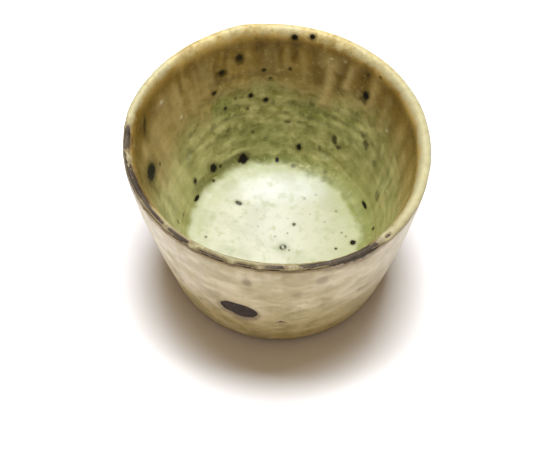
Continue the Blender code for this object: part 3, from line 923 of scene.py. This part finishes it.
# painted light: lighten the middle of the pool, where most light falls
pale = m.mix(m.math("MULTIPLY", m.mark("painted_light"), 0.62), pale, linear(192, 190, 177))
pale = m.mix(m.math("MULTIPLY", m.span(veil, 0.52, 0.68), 0.62), pale, linear(148, 153, 119))
pale = m.mix(m.math("MULTIPLY", m.span(m.noise(1.5, 4.0, 0.65), 0.55, 0.75), 0.5), pale, linear(144, 148, 112))
pale = m.mix(m.math("MULTIPLY", m.mark("cup"), 0.75), pale, linear(146, 149, 121))
pale = m.mix(m.math("MULTIPLY", m.mark("right"), 0.6), pale, linear(146, 147, 107))
edge = m.math("MULTIPLY", m.mark("rim"), m.span(m.noise(3.0, 4.0, 0.6), 0.15, 0.6))
pale = m.mix(m.math("MULTIPLY", edge, 0.8), pale, linear(148, 152, 104))
# the olive of the wall under the shallow glass, darkened with painted shade where more light falls on it
meniscus_with_painted_shade = m.mix(m.mark("painted_shade"), olive_tone(m), (0.49, 0.53, 0.44, 1.0), "MULTIPLY")
# painted shade in the corner where the wall meets the pool
meniscus_with_painted_shade = m.mix(m.math("MULTIPLY", m.mark("line"), 0.85), meniscus_with_painted_shade, linear(60, 62, 20))
pale = m.mix(m.mark("pale"), crumbled(m, meniscus_with_painted_shade), pale)
heart, halo = speck_mask(m)
pale = m.mix(m.math("MULTIPLY", halo, 0.35), pale, linear(112, 108, 58))
pale = m.mix(heart, pale, linear(18, 16, 10))
pale = m.mix(m.math("MULTIPLY", m.mark("ring"), 1.0), pale, linear(20, 20, 14))
fizz = m.cells(1.3)
seed = m.span(fizz.outputs["Distance"], 0.14, 0.06)
pale = m.mix(m.math("MULTIPLY", seed, 0.18), pale, linear(150, 156, 116))
m.bump((m.noise(1.6, 3.0), 0.006), (seed, 0.005))
m.shader.inputs["Specular IOR Level"].default_value = 0.15
pool.data.materials.append(m.done(pale, m.math("MAXIMUM", m.span(veil, 0.3, 0.7, 0.08, 0.12), m.math("MULTIPLY", m.mark("turned"), 0.5)), 1.5))

# outside
m = Surface("cream_glaze")
height = m.mark("height")
grain = m.noise(1.4, 4.0, 0.6)
fleck = m.noise(5.0, 4.0, 0.58, warp=0.2)
base = m.mix(m.span(m.mark("mottle"), 0.25, 0.8), linear(188, 174, 127), linear(224, 213, 176))
base = m.mix(m.math("MULTIPLY", m.span(m.mark("big"), 0.35, 0.8), 0.45), base, linear(210, 197, 166))
base = m.mix(m.math("MULTIPLY", m.span(m.mark("bands"), 0.55, 0.85), 0.25), base, linear(160, 142, 96))
lower = m.math("MULTIPLY", m.span(height, 30.0, 6.0), m.span(m.math("ADD", m.mark("bands"), m.mark("mottle")), 0.30, 1.25))
base = m.mix(m.math("MULTIPLY", lower, 0.95), base, linear(165, 143, 82))
base = m.mix(m.math("MULTIPLY", m.span(fleck, 0.50, 0.70), 0.45), base, linear(156, 138, 88))
smudge = m.math("MULTIPLY", m.span(m.noise(7.5, 5.0, 0.60, warp=0.15), 0.46, 0.70), m.span(height, 52.0, 14.0, 0.30, 0.70))
base = m.mix(smudge, base, linear(136, 120, 70))
curds = m.math("MULTIPLY", m.span(m.noise(3.8, 4.0, 0.58, warp=0.1), 0.44, 0.68), m.span(height, 30.0, 10.0, 0.12, 0.50))
base = m.mix(curds, base, linear(126, 112, 60))
base = m.mix(m.math("MULTIPLY", m.mark("toward_right"), 0.6), base, linear(157, 144, 108))
# painted reflection: lighten the glaze where it would mirror the bright surroundings
base = m.mix(m.math("MULTIPLY", m.mark("painted_sheen"), 0.6), base, linear(221, 210, 190))
near_lip = m.math("MULTIPLY", m.span(m.mark("past"), -9.0, -3.0), m.span(m.mark("streak"), 0.40, 0.70))
base = m.mix(m.math("MULTIPLY", near_lip, 0.45), base, linear(168, 142, 88))
base = m.mix(m.math("MULTIPLY", m.mark("thin"), 0.65), base, linear(122, 98, 66))
base = m.mix(m.math("MULTIPLY", m.span(grain, 0.55, 0.78), 0.10), base, linear(240, 230, 206))
base = m.mix(m.math("MULTIPLY", m.span(grain, 0.45, 0.25), 0.14), base, linear(140, 118, 70))
heart, halo = speck_mask(m, 0.5)
base = m.mix(m.math("MULTIPLY", halo, 0.5), base, linear(140, 116, 74))
base = m.mix(heart, base, linear(58, 44, 34))
dots = m.cells(2.6)
dot = m.math("MULTIPLY", m.span(dots.outputs["Distance"], 0.09, 0.05), m.span(m.noise(7.0, 1.0), 0.56, 0.64))
base = m.mix(m.math("MULTIPLY", dot, 0.6), base, linear(96, 76, 44))
pits = m.cells(0.9)
m.bump((grain, 0.012), (m.noise(0.5, 2.0), 0.004), (m.span(pits.outputs["Distance"], 0.14, 0.04), -0.008))
m.shader.inputs["Specular IOR Level"].default_value = 0.38
outer.data.materials.append(m.done(base, m.span(fleck, 0.3, 0.75, 0.28, 0.44), 1.52))

# clay
m = Surface("fired_clay")
grain = m.noise(0.8, 5.0, 0.65)
patch = m.noise(6.0, 4.0, 0.6, warp=0.5)
body = m.mix(m.span(patch, 0.3, 0.7), linear(44, 35, 30), linear(64, 53, 46))
body = m.mix(m.math("MULTIPLY", m.mark("lip"), 0.8), body, m.mix(m.span(patch, 0.3, 0.7), linear(56, 47, 37), linear(88, 78, 64)))
body = m.mix(m.math("MULTIPLY", m.mark("under"), 0.8), body, m.mix(m.span(patch, 0.3, 0.7), linear(84, 62, 50), linear(118, 90, 70)))
body = m.mix(m.math("MULTIPLY", m.mark("toast"), 0.5), body, linear(112, 72, 44))
body = m.mix(m.math("MULTIPLY", m.span(grain, 0.55, 0.75), 0.35), body, linear(124, 104, 90))
body = m.mix(m.math("MULTIPLY", m.span(grain, 0.45, 0.28), 0.6), body, linear(36, 28, 27))
grit = m.cells(1.5)
body = m.mix(m.math("MULTIPLY", m.span(grit.outputs["Distance"], 0.17, 0.08), 0.3), body, linear(160, 140, 116))
groove = m.math("MULTIPLY", m.mark("spiral"), m.mark("under"))
body = m.mix(m.math("MULTIPLY", groove, 0.25), body, linear(140, 112, 90))
m.bump((grain, 0.12), (m.noise(0.35, 3.0), 0.04))
m.shader.inputs["Specular IOR Level"].default_value = 0.15
clay.data.materials.append(m.done(body, m.span(grain, 0.3, 0.7, 0.55, 0.82), 1.5))

for piece, node, slot in (
    (clay, "clay_body", "clay"),
    (inner, "inner_glaze", "inner_glaze"),
    (pool, "glaze_pool", "glaze_pool"),
    (outer, "outer_glaze", "outer_glaze"),
):
    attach(piece, "root")
    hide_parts(node)

# ---------------------------------------------------------------- floor, light and camera
mesh = bpy.data.meshes.new("floor")
mesh.from_pydata([(-3, -3, 0), (3, -3, 0), (3, 3, 0), (-3, 3, 0)], [], [(0, 1, 2, 3)])
floor = bpy.data.objects.new("floor", mesh)
bpy.context.scene.collection.objects.link(floor)
m = Surface("studio_floor")
mesh.materials.append(m.done(m.mix(m.noise(40.0, 2.0), (0.835, 0.822, 0.816, 1), (0.855, 0.842, 0.836, 1)), m.span(m.noise(30.0, 2.0), 0.0, 1.0, 0.6, 0.7)))

scene = bpy.context.scene
world = bpy.data.worlds.new("studio")
world.use_nodes = True
back = world.node_tree.nodes["Background"]
back.inputs["Color"].default_value = (1.0, 0.76, 0.52, 1)
back.inputs["Strength"].default_value = 0.34
scene.world = world


def area(name, at, aim, size, power, colour):
    lamp = bpy.data.lights.new(name, "AREA")
    lamp.shape = "RECTANGLE"
    lamp.size, lamp.size_y = size
    lamp.energy = power
    lamp.color = colour
    obj = bpy.data.objects.new(name, lamp)
    obj.location = at
    away = np.array(at) - np.array(aim)
    obj.rotation_euler = (math.atan2(math.hypot(away[0], away[1]), away[2]), 0, math.atan2(away[1], away[0]) + math.pi / 2)
    scene.collection.objects.link(obj)
    return obj


area("key", (0.009, 0.086, 0.75), (0, 0, 0.03), (0.34, 0.22), 9.5, (0.95, 1.0, 1.06))
area("window", (-0.006, 0.299, 0.703), (0, 0.018, 0.008), (0.134, 0.079), 0.70, (0.90, 0.95, 1.25))

ELEV, REACH, FOCAL = 57.69, 0.420, 1357.0
camera = bpy.data.cameras.new("camera")
camera.sensor_fit = "HORIZONTAL"
camera.sensor_width = 36.0
camera.lens = FOCAL / 550.0 * 36.0
camera.clip_start = 0.01
eye = bpy.data.objects.new("camera", camera)
lift = math.radians(ELEV)
eye.location = (0.0, -math.cos(lift) * REACH, math.sin(lift) * REACH)
eye.rotation_euler = (math.radians(90.0 - (ELEV - 1.01)), 0.0, math.radians(0.31))
scene.collection.objects.link(eye)
scene.camera = eye
scene.view_settings.view_transform = "Standard"
